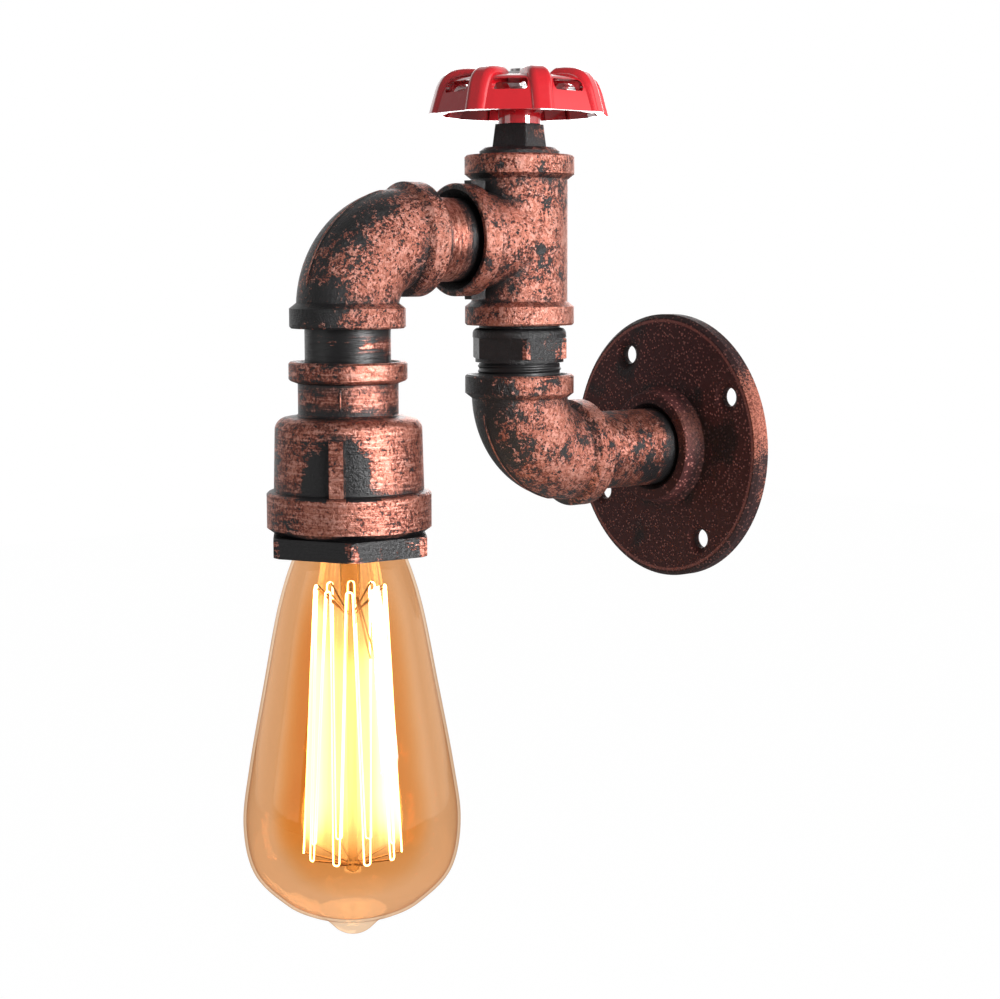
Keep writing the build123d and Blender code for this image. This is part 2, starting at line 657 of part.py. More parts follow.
def make_wheel_nut():
    """Hexagon nut on the spindle's top."""
    low = hub_top_z + washer_thick
    nut = worn_hexagon(nut_flats, wheel_turn, low, low + nut_height, 0.5)
    return Pos(0, riser_y, 0) * (nut - cylinder(spindle_r + thread_gap, low - 1, low + nut_height + 1))


# ---- lamp ----------------------------------------------------------------------------------------
def lamp(part):
    """Put a piece of the lamp, drawn with its contact tip at z = 0, into the lampholder."""
    return Pos(0, lamp_y, cap_tip_z) * part


def envelope(inset):
    """Side line of the glass from neck to exhaust tip, drawn in by inset: shoulder, cone and round end."""
    neck = (cap_r - cap_wall - glass_neck_gap - inset, -cap_length)
    points = [
        (glass_mouth_r, glass_mouth_drop), (cone_top_r, cone_top_drop), (cone_foot_r, cone_foot_drop),
        (widest_r, widest_drop), (round_r, round_drop), (low_round_r, low_round_drop)]
    side = [(radius - inset, -drop) for radius, drop in points]
    end = (tip_r - inset / 2, inset - round_end_drop)
    return neck, Spline(neck, *side, end), end


def make_bulb_glass():
    """Blown envelope: straight neck in the cap, long cone, round end and the drawn-out exhaust tip."""
    neck, outer, outer_end = envelope(0)
    inner_neck, inner, inner_end = envelope(glass_wall)
    neck_top = -(cap_length - glass_in_cap)
    tip_z = -round_end_drop - tip_length
    waist = (tip_r * tip_waist, -round_end_drop - tip_length * 0.42)
    tip = Spline(outer_end, waist, (0, tip_z), tangents=((-1, -0.3), (-1, 0)))
    core = (0, inner_end[1] - glass_wall)
    outline = (
        Polyline(inner_neck, (inner_neck[0], neck_top), (neck[0], neck_top), neck)
        + outer + tip + Line((0, tip_z), core) + Line(core, inner_end) + inner)
    return lamp(turned(outline))


def make_bulb_cap():
    """Metal screw cap, plain where its thread is rolled."""
    top = -(cap_contact_height + cap_insulator_height)
    points = [
        (cap_r, -cap_length), (cap_r, top - 1.4), (cap_r - 1.4, top), (cap_r - 1.4 - cap_wall, top),
        (cap_r - cap_wall, top - 1.4), (cap_r - cap_wall, -cap_length)]
    return lamp(turned(ring_outline(points)))


def make_cap_insulator():
    """Black glass cone between the screw cap and the end contact."""
    top = -cap_contact_height
    low = top - cap_insulator_height
    points = [(0, low), (cap_r - 1.4, low), (cap_insulator_top_r, top), (0, top)]
    return lamp(turned(ring_outline(points)))


def make_cap_contact():
    """Domed solder contact on the cap's end."""
    disc = cylinder(cap_contact_r, -cap_contact_height, 0)
    return lamp(fillet(disc.edges().group_by(Axis.Z)[-1], cap_contact_height * 0.8))


def make_stem():
    """Glass mount: flare fused to the neck, press, long rod and the bead that carries the hooks."""
    flare_z = -(cap_length - glass_in_cap) - 0.5
    points = [
        (0, flare_z), (stem_flare_r, flare_z), (stem_flare_r * 0.6, flare_z - 4), (stem_r, flare_z - 9),
        (stem_r, -stem_press_drop), (rod_r, -stem_press_drop - 3), (rod_r, -star_drop), (0, -star_drop)]
    stem = turned(ring_outline(points)) + Pos(0, 0, -star_drop) * Sphere(bead_r)
    return lamp(stem + Pos(0, 0, -hook_bead_drop) * Sphere(bead_r))


def hook_places():
    """Angle, radius and drop of every bend of the filament, top and foot in turn round the rod."""
    bends = 2 * hairpins - 1
    for i in range(bends):
        angle = 2 * math.pi * (i + 1) / (bends + 1)
        if i % 2:
            yield angle, filament_top_r, filament_top_drop
        else:
            yield angle, filament_foot_r, filament_foot_drop


def round_axis(radius, angle, drop):
    """A point at a radius, an angle in radians and a drop below the contact tip."""
    return Vector(radius * math.cos(angle), radius * math.sin(angle), -drop)


def make_filament():
    """One unbroken wire in long hairpins from hook to hook."""
    half_gap = filament_bend_r * 1.1
    lead_angle = half_gap / lead_end_r
    points = [round_axis(lead_end_r, lead_angle, lead_end_drop)]
    for angle, radius, drop in hook_places():
        spread = half_gap / radius
        points += [round_axis(radius, angle - spread, drop), round_axis(radius, angle + spread, drop)]
    points.append(round_axis(lead_end_r, -lead_angle, lead_end_drop))
    route = FilletPolyline(*points, radius=filament_bend_r)
    start = Plane(origin=route @ 0, z_dir=route % 0)
    wire = sweep(start * RegularPolygon(filament_r, 6), path=route)
    print("filament length", round(route.length, 1), "hairpins", hairpins,
          "least gap between strands", round(2 * (filament_bend_r - filament_r), 2))
    return lamp(wire)


def thin_rod(start, end, radius):
    """A straight round wire between two points."""
    return Plane(origin=start, z_dir=end - start) * extrude(Circle(radius), (end - start).length)


def make_hooks():
    """Fine wires from the two glass beads out to every bend of the filament."""
    hooks = []
    for angle, radius, drop in hook_places():
        bead_drop = star_drop if radius == filament_foot_r else hook_bead_drop
        bead = Vector(0, 0, -bead_drop)
        end = round_axis(radius - filament_r - fine_wire_r - seat_gap, angle, drop)
        root = bead + (end - bead).normalized() * (bead_r + seat_gap)
        hooks.append(lamp(thin_rod(root, end, fine_wire_r)))
    return Compound(children=hooks)


def make_leads():
    """The two lead wires from the press to the filament's ends."""
    leads = []
    for side in (1, -1):
        angle = side * filament_bend_r * 1.1 / lead_end_r
        root = round_axis(stem_r + fine_wire_r + seat_gap, angle, stem_press_drop - fine_wire_r)
        end = round_axis(lead_end_r - filament_r - fine_wire_r - seat_gap, angle, lead_end_drop)
        leads.append(lamp(thin_rod(root, end, fine_wire_r)))
    return Compound(children=leads)


def save(part, name):
    """Write one piece to its own file."""
    export_step(part, os.path.join("parts", name + ".step"))


os.makedirs("parts", exist_ok=True)

elbow = make_elbow()
wall_nipple = to_wall_axis(nipple(wall_nipple_show + 2 * thread_engage))
branch_nipple = to_wall_axis(nipple(branch_nipple_show + 2 * thread_engage))
lamp_nipple = nipple(lamp_nipple_show + 2 * thread_engage)

save(make_wall_flange(), "wall_flange")
save(Pos(0, thread_engage - hub_height, 0) * wall_nipple, "wall_nipple")
save(Pos(0, riser_y, 0) * elbow, "lower_elbow")
save(make_hex_nipple(), "hex_nipple")
save(Pos(0, riser_y, arm_z) * make_tee(), "tee")
save(Pos(0, riser_y - tee_reach + thread_engage, arm_z) * branch_nipple, "branch_nipple")
save(Pos(0, lamp_y, arm_z) * Rot(0, 180, 0) * elbow, "upper_elbow")
save(Pos(0, lamp_y, bell_top_z - thread_engage) * lamp_nipple, "lamp_nipple")
save(make_reducer(), "reducer")
save(make_end_ring(), "end_ring")

save(make_holder_body(), "holder_body")
save(make_screw_shell(), "screw_shell")
save(make_centre_contact(), "centre_contact")
save(make_terminal(-1, -terminal_x, holder_floor_z), "live_terminal")
save(make_terminal(1, neutral_rivet_x, holder_floor_z - shell_wall), "neutral_terminal")
save(make_terminal_screws(), "terminal_screws")
save(make_wire(-terminal_x), "live_wire")
save(make_wire(terminal_x), "neutral_wire")
save(make_top_plug(), "top_plug")
save(make_handwheel(), "handwheel")
save(make_spindle(), "wheel_spindle")
save(make_washer(plug_roof_z - play - washer_thick), "lower_washer")
save(make_washer(hub_top_z), "upper_washer")
save(make_wheel_nut(), "wheel_nut")
save(make_bulb_glass(), "bulb_glass")
save(make_bulb_cap(), "bulb_cap")
save(make_cap_insulator(), "cap_insulator")
save(make_cap_contact(), "cap_contact")
save(make_stem(), "bulb_stem")
save(make_filament(), "filament")
save(make_hooks(), "filament_hooks")
save(make_leads(), "lead_wires")
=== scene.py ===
import bpy
import numpy as np
from mathutils import Matrix, Vector


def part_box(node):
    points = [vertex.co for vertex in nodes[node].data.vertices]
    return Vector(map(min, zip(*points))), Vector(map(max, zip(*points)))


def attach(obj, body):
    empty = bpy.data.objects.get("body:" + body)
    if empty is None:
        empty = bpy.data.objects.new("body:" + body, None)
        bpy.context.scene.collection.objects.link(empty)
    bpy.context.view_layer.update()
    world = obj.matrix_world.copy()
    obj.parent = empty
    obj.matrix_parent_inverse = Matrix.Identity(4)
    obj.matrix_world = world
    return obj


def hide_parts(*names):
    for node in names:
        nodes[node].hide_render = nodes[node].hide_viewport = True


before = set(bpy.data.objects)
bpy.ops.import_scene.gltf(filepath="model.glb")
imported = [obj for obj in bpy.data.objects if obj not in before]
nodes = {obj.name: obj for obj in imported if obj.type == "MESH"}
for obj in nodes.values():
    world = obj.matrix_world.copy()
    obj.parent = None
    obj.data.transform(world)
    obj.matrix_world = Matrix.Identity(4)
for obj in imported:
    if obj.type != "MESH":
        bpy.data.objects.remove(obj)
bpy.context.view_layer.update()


# ---- wall flange ------------------------------------------------------------------------------
# A round cast-iron floor flange with a raised threaded hub, held to the wall by four
# countersunk screws. Its face keeps the pebbled skin of the sand mould, sprayed dark oxblood.
# Copper is on the lit side of the rim and of the hub, partly rubbed and partly a painted
# highlight.


class Value:
    """One output in a material's node tree. Sums written on it add Math nodes."""

    def __init__(self, finish, socket):
        self.finish = finish
        self.socket = socket

    def maths(self, operation, first, second):
        return self.finish.node("ShaderNodeMath", {"operation": operation}, {0: first, 1: second})

    def __add__(self, other):
        return self.maths("ADD", self, other)

    def __radd__(self, other):
        return self.maths("ADD", other, self)

    def __sub__(self, other):
        return self.maths("SUBTRACT", self, other)

    def __rsub__(self, other):
        return self.maths("SUBTRACT", other, self)

    def __mul__(self, other):
        return self.maths("MULTIPLY", self, other)

    def __rmul__(self, other):
        return self.maths("MULTIPLY", other, self)

    def __pow__(self, other):
        return self.maths("POWER", self, other)

    def __or__(self, other):
        return self.maths("MAXIMUM", self, other)


class Finish:
    """A material on its way: its node tree and the shader that its patterns feed."""

    def __init__(self, name, constants):
        self.material = bpy.data.materials.new(name)
        self.material.use_nodes = True
        self.tree = self.material.node_tree
        self.shader = self.tree.nodes["Principled BSDF"]
        self.feed(self.shader, constants)

    def feed(self, node, sockets):
        """Links or sets the sockets that are named."""
        for key, value in sockets.items():
            socket = node.inputs[key]
            if isinstance(value, Value):
                self.tree.links.new(value.socket, socket)
            elif socket.type == "RGBA":
                socket.default_value = (*value, 1.0)
            else:
                socket.default_value = value

    def node(self, kind, settings, sockets, output=0):
        """Any other node: its type, its settings, its sockets' values or links."""
        made = self.tree.nodes.new(kind)
        for key, value in settings.items():
            setattr(made, key, value)
        self.feed(made, sockets)
        return Value(self, made.outputs[output])

    def place(self):
        """Where a point of the piece is, in metres."""
        return self.node("ShaderNodeTexCoord", {}, {}, "Object")

    def moved(self, place, operation, amounts):
        """A place with one sum done on its three parts."""
        return self.node("ShaderNodeVectorMath", {"operation": operation}, {0: place, 1: amounts})

    def noise(self, place, scale, detail=2.0, rough=0.5):
        """Cloudy noise between 0 and 1, with about scale clouds to the metre."""
        sockets = {"Vector": place, "Scale": scale, "Detail": detail, "Roughness": rough}
        return self.node("ShaderNodeTexNoise", {}, sockets)

    def rise(self, value, low, high):
        """0 below low, 1 above high, with a smooth rise between them."""
        sockets = {"Value": value, "From Min": low, "From Max": high}
        return self.node("ShaderNodeMapRange", {"interpolation_type": "SMOOTHSTEP"}, sockets)

    def band(self, value, foot, low, high, top):
        """0 below foot and above top, 1 from low to high, with smooth sides."""
        return self.rise(value, foot, low) * (1.0 - self.rise(value, high, top))

    def mix(self, mask, under, over):
        """The colour under, covered by the colour over where mask is 1."""
        return self.node("ShaderNodeMix", {"data_type": "RGBA"}, {0: mask, 6: under, 7: over}, 2)

    def open_air(self, reach):
        """1 on open surfaces and edges, falling to 0 in a crevice narrower than reach."""
        settings = {"samples": 6}
        return self.node("ShaderNodeAmbientOcclusion", settings, {"Distance": reach}, "AO")

    def skin(self, height, depth):
        """Bumps of the given depth in metres."""
        bump = self.node("ShaderNodeBump", {}, {"Strength": 1.0, "Distance": depth, "Height": height})
        self.feed(self.shader, {"Normal": bump})

    def across(self, place, axis):
        """The way from an axis to a place, square to the axis."""
        centre, plane = axis
        return self.moved(self.moved(place, "SUBTRACT", centre), "MULTIPLY", plane)

    def from_axis(self, place, axis):
        """Distance from an axis."""
        flat = self.across(place, axis)
        return self.node("ShaderNodeVectorMath", {"operation": "LENGTH"}, {0: flat}, 1)

    def towards(self, way, direction):
        """How far one way points in a direction: 1 straight along it, -1 straight back."""
        sockets = {0: way, 1: direction}
        return self.node("ShaderNodeVectorMath", {"operation": "DOT_PRODUCT"}, sockets, 1)

    def side(self, place, axis, direction):
        """1 on the side of the axis that lies in a direction, -1 on the far side."""
        flat = self.across(place, axis)
        unit = self.node("ShaderNodeVectorMath", {"operation": "NORMALIZE"}, {0: flat})
        return self.towards(unit, direction)


def dress(node, finish):
    """Gives a CAD node one finish."""
    nodes[node].data.materials.clear()
    nodes[node].data.materials.append(finish.material)


BLACK_PAINT = (0.0105, 0.0098, 0.0106)
BROWN_COPPER = (0.20, 0.058, 0.042)
COPPER = (0.56, 0.206, 0.144)
OXBLOOD = (0.082, 0.024, 0.024)
MAROON = (0.66, 0.25, 0.21)

# An axis is a point on it and the two directions across it.
ACROSS_Y = (1, 0, 1)
FLANGE_AXIS = ((0, 0, 0), ACROSS_Y)


def flange_finish():
    """Pebbled oxblood paint with a maroon point on each pebble, a painted highlight; black
    smears, and black round the hub and in the screw holes, painted shade; a maroon line on
    the rim's edge, a painted highlight; and copper on the lit part of the rim and the hub,
    partly rubbed and partly a painted highlight."""
    worn_and_lit_side = (0.95, 0.0, 0.31)
    finish = Finish("pebbled_oxblood", {"Specular IOR Level": 0.3})
    place = finish.place()
    pebbles = finish.node("ShaderNodeTexVoronoi", {}, {"Vector": place, "Scale": 820.0})
    # A maroon point on top of each pebble: a painted highlight.
    point = 1.0 - finish.rise(pebbles, 0.14, 0.42)
    patch = finish.noise(place, 48.0, 3.0) - 0.5
    grain = finish.noise(place, 1500.0, 3.0, 0.7)
    ragged = grain - 0.5
    radius = finish.from_axis(place, FLANGE_AXIS)
    rim = finish.rise(radius, 0.0440, 0.0450)
    hub = 1.0 - finish.rise(radius, 0.0204, 0.0222)
    face = 1.0 - (rim | hub)
    # The rim and hub get copper on the side towards the key lamp: partly rubbed copper, partly a painted
    # highlight.
    worn_and_lit = finish.side(place, FLANGE_AXIS, worn_and_lit_side)
    rim_rub_and_highlight = rim * finish.rise(worn_and_lit + patch * 0.9 + ragged * 0.5, 0.86, 0.96)
    hub_rub_and_highlight = hub * finish.rise(worn_and_lit + patch * 2.2 + ragged * 1.6, 0.90, 1.45) * 0.5
    rub_and_highlight = rim_rub_and_highlight | hub_rub_and_highlight
    # Black where the surface is shut in, round the hub and in the screw holes, is painted shade; the
    # patches add real black smears.
    hollow = 1.0 - finish.open_air(0.006)
    smear_and_shade = finish.rise(patch * 2.2 + ragged * 0.5 + hollow * 1.3, 0.12, 0.34)
    painted = finish.mix(point * finish.rise(grain + patch * 0.6, 0.20, 0.56), OXBLOOD, MAROON)
    painted = finish.mix(smear_and_shade * 0.85 | rim * 0.7, painted, BLACK_PAINT)
    # A maroon line round the rim's edge: a painted highlight.
    edge = finish.band(radius, 0.0432, 0.0437, 0.0441, 0.0447)
    painted = finish.mix(edge * grain * 0.9, painted, MAROON)
    copper = finish.mix(finish.rise(grain, 0.38, 0.6) * (0.35 + rim * 0.65), BROWN_COPPER, COPPER)
    finish.feed(finish.shader, {
        "Base Color": finish.mix(rub_and_highlight, painted, copper),
        "Metallic": rub_and_highlight * 0.5,
        "Roughness": 0.6 - smear_and_shade * 0.14})
    finish.skin(point * (0.2 + face * 0.8) + grain * 0.4, 0.0006)
    return finish


dress("wall_flange", flange_finish())


# ---- pipes, elbows, tee and reducer -----------------------------------------------------------
# Malleable-iron fittings and short pipe nipples, screwed together tight. All are sprayed
# black, then dry-brushed with copper: it catches on the sand grain and the edges, leaves
# brush marks round each piece, and never reaches the crevices. The black in the crevices and
# beside other parts is partly painted shade, and the copper is heavier on the lit side, partly
# as painted light.


PALE_COPPER = (0.82, 0.44, 0.36)
# The lit side of every piece, towards the camera's right. The copper is heavier towards it, partly as
# painted light, and the glass is deeper amber away from it, as painted shade.
LIT_SIDE = (0.629, 0.777, 0.0)

# How close the brush marks lie in each direction, in marks to the metre.
ROUND_Z = (120.0, 120.0, 1250.0)
ROUND_Y = (120.0, 1250.0, 120.0)
ANY_WAY = (380.0, 380.0, 380.0)

# The axes that the fittings are turned round. Shapes are worked out in millimetres, and
# finishes in metres.
ACROSS_X, ACROSS_Z = (0, 1, 1), (1, 1, 0)
RISER_Y, LAMP_Y = -71.2, -140.0
RISER = ((0.0, RISER_Y * 0.001, 0.0), ACROSS_Z)
LAMP_AXIS = ((0.0, LAMP_Y * 0.001, 0.0), ACROSS_Z)
ARM_AXIS = ((0.0, 0.0, 0.07125), ACROSS_Y)

# Where the elbows' curves are centred, in y and z.
LOWER_BEND, UPPER_BEND = (-49.7, 21.5), (-118.5, 49.75)


def rubbed_iron(
        name, axis, strokes, start, cover, patch, stroke, grain, lit_side_sweep, corner=None, less_copper=None):
    """Black paint with copper rubbed over it. The copper is where the sum of cover, patches,
    brush strokes and the casting's grain is above nothing. Pits take from that sum, and so do
    crevices and gaps beside other parts, so their black has a ragged edge: partly bare black
    where the brush never reached, partly painted shade. The lit side gets more copper and the
    far side less, by a given amount: partly the rub, partly painted light. An extra mask, where
    one is given, takes from the sum too. A corner, as far off the axis as it says, adds to it."""
    finish = Finish(name, {"Specular IOR Level": 0.6})
    here = finish.place()
    place = finish.moved(here, "ADD", start)
    patches = finish.noise(place, 62.0, 3.0, 0.5) - 0.5
    blots = finish.noise(place, 250.0, 3.0, 0.6) - 0.5
    drawn = finish.noise(finish.moved(place, "MULTIPLY", strokes), 1.0, 4.0, 0.62) - 0.5
    sand = finish.noise(place, 950.0, 3.0, 0.8) - 0.5
    pits = finish.rise(finish.noise(place, 1250.0, 1.0), 0.58, 0.70)
    # Black in crevices and beside other parts, from how shut in the surface is: partly bare black where
    # the brush never reached, partly painted shade.
    hollow = 1.0 - finish.open_air(0.0055)
    height = cover + patches * patch + blots * (patch * 0.8) + drawn * stroke + sand * grain
    height = height - hollow * 1.5 - pits * grain * 0.3
    # More copper on the lit side and less on the far side: partly the rub, partly painted light.
    height = height + finish.side(here, axis, LIT_SIDE) * lit_side_sweep
    if less_copper:
        height = height - less_copper(finish, here)
    if corner:
        height = height + finish.rise(finish.from_axis(here, axis), corner - 0.0005, corner) * 0.4
    rub_light_and_shade = finish.rise(height, -0.03, 0.03)
    copper = finish.mix(finish.rise(height + sand * 0.9, -0.02, 0.30), BROWN_COPPER, COPPER)
    fresh = finish.rise(drawn * 1.4 + sand * 1.4 + height * 0.35, 0.10, 0.36)
    copper = finish.mix(fresh * 0.6, copper, PALE_COPPER)
    finish.feed(finish.shader, {
        "Base Color": finish.mix(rub_light_and_shade, BLACK_PAINT, copper),
        "Metallic": rub_light_and_shade * 0.85,
        "Roughness": 0.37 + rub_light_and_shade * 0.03 + sand * 0.25})
    finish.skin(sand * grain + drawn * stroke * 0.6 + rub_light_and_shade * 0.2, 0.0004)
    return finish


def back_of_bend(centre):
    """Less copper on the outside of an elbow's curve."""
    bend_axis = ((0.0, centre[0] * 0.001, centre[1] * 0.001), ACROSS_X)
    return lambda finish, here: finish.rise(finish.from_axis(here, bend_axis), 0.027, 0.0375) * 0.36


def beside_ribs(finish, here):
    """Black along both sides of the bell's two ribs, wider towards the foot: partly bare black
    paint, partly painted shade.
    """
    ribs_lie = (0.724, -0.690, 0.0)
    rib = finish.side(here, LAMP_AXIS, ribs_lie)
    near_rib = finish.node("ShaderNodeMath", {"operation": "ABSOLUTE"}, {0: rib})
    height = finish.node("ShaderNodeSeparateXYZ", {}, {"Vector": here}, "Z")
    hollow = finish.rise(near_rib - height * 2.6, 0.84, 0.985)
    hollow = hollow * (1.0 - finish.rise(near_rib, 0.9925, 0.9940))
    return hollow * finish.band(height, -0.0080, -0.0068, 0.002, 0.0150) * 0.78


dress("wall_nipple", rubbed_iron(
    "rubbed_wall_nipple", FLANGE_AXIS, ANY_WAY, (0.0, 0.0, 0.0),
    cover=0.05, patch=1.1, stroke=0.2, grain=0.9, lit_side_sweep=0.10))
dress("lower_elbow", rubbed_iron(
    "rubbed_lower_elbow", RISER, ANY_WAY, (0.0, 0.03, 0.02),
    cover=0.13, patch=1.5, stroke=0.3, grain=1.7, lit_side_sweep=0.18, less_copper=back_of_bend(LOWER_BEND)))
dress("tee", rubbed_iron(
    "rubbed_tee", RISER, ANY_WAY, (0.04, 0.07, 0.01),
    cover=0.24, patch=1.6, stroke=0.25, grain=1.5, lit_side_sweep=0.16))
dress("branch_nipple", rubbed_iron(
    "rubbed_branch_nipple", ARM_AXIS, ROUND_Y, (0.01, 0.02, 0.0),
    cover=0.22, patch=0.7, stroke=0.9, grain=0.4, lit_side_sweep=0.08))
dress("upper_elbow", rubbed_iron(
    "rubbed_upper_elbow", LAMP_AXIS, ANY_WAY, (0.02, 0.0, 0.03),
    cover=0.18, patch=1.4, stroke=0.3, grain=1.9, lit_side_sweep=0.12, less_copper=back_of_bend(UPPER_BEND)))
dress("lamp_nipple", rubbed_iron(
    "rubbed_lamp_nipple", LAMP_AXIS, ROUND_Z, (0.03, 0.0, 0.01),
    cover=-0.14, patch=0.9, stroke=1.2, grain=0.15, lit_side_sweep=0.40))
dress("reducer", rubbed_iron(
    "rubbed_reducer", LAMP_AXIS, ROUND_Z, (0.05, 0.02, 0.0),
    cover=0.20, patch=0.8, stroke=0.9, grain=0.8, lit_side_sweep=0.10, less_copper=beside_ribs))


def closed_surface(name, grid, finish, ring=False):
    """A skin over a grid of points in millimetres, rows along and columns round. The last
    column joins the first. The rows join in a ring too, or end in flat caps. The faces turn
    outwards: then the volume under them, summed over the skin, is above nothing."""
    rows, columns = grid.shape[:2]
    row = np.arange(rows if ring else rows - 1)[:, None]
    column = np.arange(columns)[None, :]
    above, beside = (row + 1) % rows, (column + 1) % columns
    corners = [(row, column), (row, beside), (above, beside), (above, column)]
    faces = np.stack([line * columns + spot for line, spot in corners], -1).reshape(-1, 4)
    points = grid.reshape(-1, 3)
    first, second, fourth = (points[faces[:, corner]] for corner in (0, 1, 3))
    volume = (points[faces].mean(1) * np.cross(second - first, fourth - first)).sum()
    turn = 1 if volume > 0 else -1
    low_end = np.arange(columns)
    flat_ends = [] if ring else [low_end[::-1], low_end + (rows - 1) * columns]
    turned = faces[:, ::turn].tolist() + [end[::turn].tolist() for end in flat_ends]
    mesh = bpy.data.meshes.new(name)
    mesh.from_pydata((points * 0.001).tolist(), [], turned)
    mesh.shade_smooth()
    mesh.materials.append(finish.material)
    piece = bpy.data.objects.new(name, mesh)
    bpy.context.scene.collection.objects.link(piece)
    return piece


def casting_seam(name, path, outward, finish):
    """The ridge where two halves of a sand mould met: an eight-sided rod with its middle on
    the path, so that half of it stands proud, and its ends drawn under the skin."""
    half_width, end_depth, end_points = 0.36, 0.5, 4.0
    along = np.gradient(path, axis=0)
    along /= np.linalg.norm(along, axis=1)[:, None]
    wide = np.cross(along, outward)
    angle = np.linspace(0, 2 * np.pi, 8, endpoint=False)[None, :, None]
    count = np.arange(len(path))
    ends = np.minimum(1.0, np.minimum(count, count[::-1]) / end_points)[:, None, None]
    proud = np.sin(angle) * half_width * ends + (ends - 1.0) * end_depth
    rod = wide[:, None] * np.cos(angle) * half_width + outward[:, None] * proud
    piece = closed_surface(name, path[:, None] + rod, finish)
    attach(piece, "body")


def bend_line(centre, first, last):
    """A quarter round along the back of an elbow: its points and the directions that face
    out. The angles go from the y axis to the z axis."""
    radius = 37.35
    angle = np.radians(np.linspace(first, last, 40))
    out = np.stack([np.zeros(40), np.cos(angle), np.sin(angle)], -1)
    return np.array([0.0, *centre]) + out * radius, out


def straight_line(low, high, out, count):
    """A straight seam: its points from low to high and one direction that faces out."""
    return np.linspace(low, high, count), np.tile(out, (count, 1))


seam_paint = rubbed_iron(
    "rubbed_seam", LAMP_AXIS, ANY_WAY, (0.02, 0.04, 0.0),
    cover=0.22, patch=0.8, stroke=0.0, grain=0.8, lit_side_sweep=0.0)
casting_seam("upper_elbow_seam", *bend_line(UPPER_BEND, 96, 174), seam_paint)
casting_seam("lower_elbow_seam", *bend_line(LOWER_BEND, 186, 264), seam_paint)

tee_back_y = -55.35
tee_line = straight_line((0.0, tee_back_y, 51.5), (0.0, tee_back_y, 91.0), (0.0, 1.0, 0.0), 24)
casting_seam("tee_seam", *tee_line, seam_paint)

rib_angle, reducer_neck_r = np.radians(-43.6), 15.6
rib_way = np.array([np.cos(rib_angle), np.sin(rib_angle), 0.0])
for name, out in (("reducer_front_seam", rib_way), ("reducer_back_seam", -rib_way)):
    neck = np.array([0.0, LAMP_Y, 0.0]) + out * reducer_neck_r
    casting_seam(name, *straight_line(neck + (0, 0, 17.4), neck + (0, 0, 27.2), out, 16), seam_paint)


# ---- black pieces -----------------------------------------------------------------------------
# The hexagon nipple, the square-headed plug and the hexagon end ring are left in their black
# paint, with copper on the corners and in scratches, and more of it on the lit side, partly as
# painted light. The nipple's thread shows below its hexagon.

dress("hex_nipple", rubbed_iron(
    "black_hex_nipple", RISER, ROUND_Z, (0.0, 0.0, 0.0),
    cover=-0.42, patch=0.9, stroke=0.3, grain=1.2, lit_side_sweep=0.48, corner=0.0161))
dress("top_plug", rubbed_iron(
    "black_plug", RISER, ANY_WAY, (0.02, 0.05, 0.0),
    cover=-0.40, patch=0.7, stroke=0.1, grain=1.6, lit_side_sweep=0.36, corner=0.0131))
dress("end_ring", rubbed_iron(
    "black_end_ring", LAMP_AXIS, ROUND_Z, (0.07, 0.01, 0.0),
    cover=-0.44, patch=1.0, stroke=0.6, grain=0.8, lit_side_sweep=0.26, corner=0.0262))


def screw_thread(axis_y, low, high, root, depth, pitch, wall, shoulder=0.0):
    """A threaded wall: round an upright axis, the outside is root plus depth times a rounded
    wave of height over pitch less the share of a turn, so that it climbs like a right-hand
    screw, and dies out at both ends. A shoulder is a bead as high as the thread that leans in
    at 45 degrees to the top. The inside is the same surface, one wall further in."""
    height = np.linspace(low, high, max(16, int((high - low) / pitch * 14)))[:, None]
    turn = np.linspace(0, 1, 72, endpoint=False)[None, :]
    wave = (0.5 + 0.5 * np.cos(2 * np.pi * (height / pitch - turn))) ** 1.4
    step = high - shoulder
    dying = np.clip(np.minimum(height - low, step - height) / (0.45 * pitch), 0, 1)
    outside = root + depth * wave * dying
    if shoulder:
        lean = np.where(height > step, height - step, 2 * (step - height))
        outside = np.maximum(outside, root + depth - lean)
    radius = np.concatenate([outside, outside[::-1] - wall])
    height = np.concatenate([height, height[::-1]])
    angle = 2 * np.pi * turn
    points = [radius * np.cos(angle), axis_y + radius * np.sin(angle), height + 0 * angle]
    return np.stack(points, -1)


thread_paint = rubbed_iron(
    "black_thread", RISER, ROUND_Z, (0.0, 0.0, 0.03),
    cover=-0.5, patch=0.5, stroke=0.2, grain=0.4, lit_side_sweep=0.1)
nipple_wall = screw_thread(
    RISER_Y, low=26.9, high=31.0, root=13.38, depth=0.42, pitch=1.814, wall=0.9)
turns = closed_surface("nipple_thread", nipple_wall, thread_paint, ring=True)
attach(turns, "body")


# ---- handwheel --------------------------------------------------------------------------------
# An eight-sided cast wheel dipped in red enamel, turning on a zinc-plated bolt between two
# washers, with a nut on top.


def enamel_finish():
    """Thick glossy red enamel, a little uneven in tone, and darker in the hollows: painted shade."""
    bright_red, dark_red = (0.80, 0.012, 0.023), (0.24, 0.001, 0.004)
    finish = Finish("red_enamel", {
        "Roughness": 0.35, "Specular IOR Level": 0.2,
        "Coat Weight": 1.0, "Coat Roughness": 0.05, "Coat IOR": 2.2})
    place = finish.place()
    pool = finish.noise(place, 160.0)
    # Darker red where the surface is shut in: painted shade.
    hollow = 1.0 - finish.rise(finish.open_air(0.007), 0.15, 0.85)
    red = finish.mix(pool * 0.2 + hollow * 0.85, bright_red, dark_red)
    finish.feed(finish.shader, {"Base Color": red})
    finish.skin(finish.noise(place, 230.0), 0.0002)
    return finish


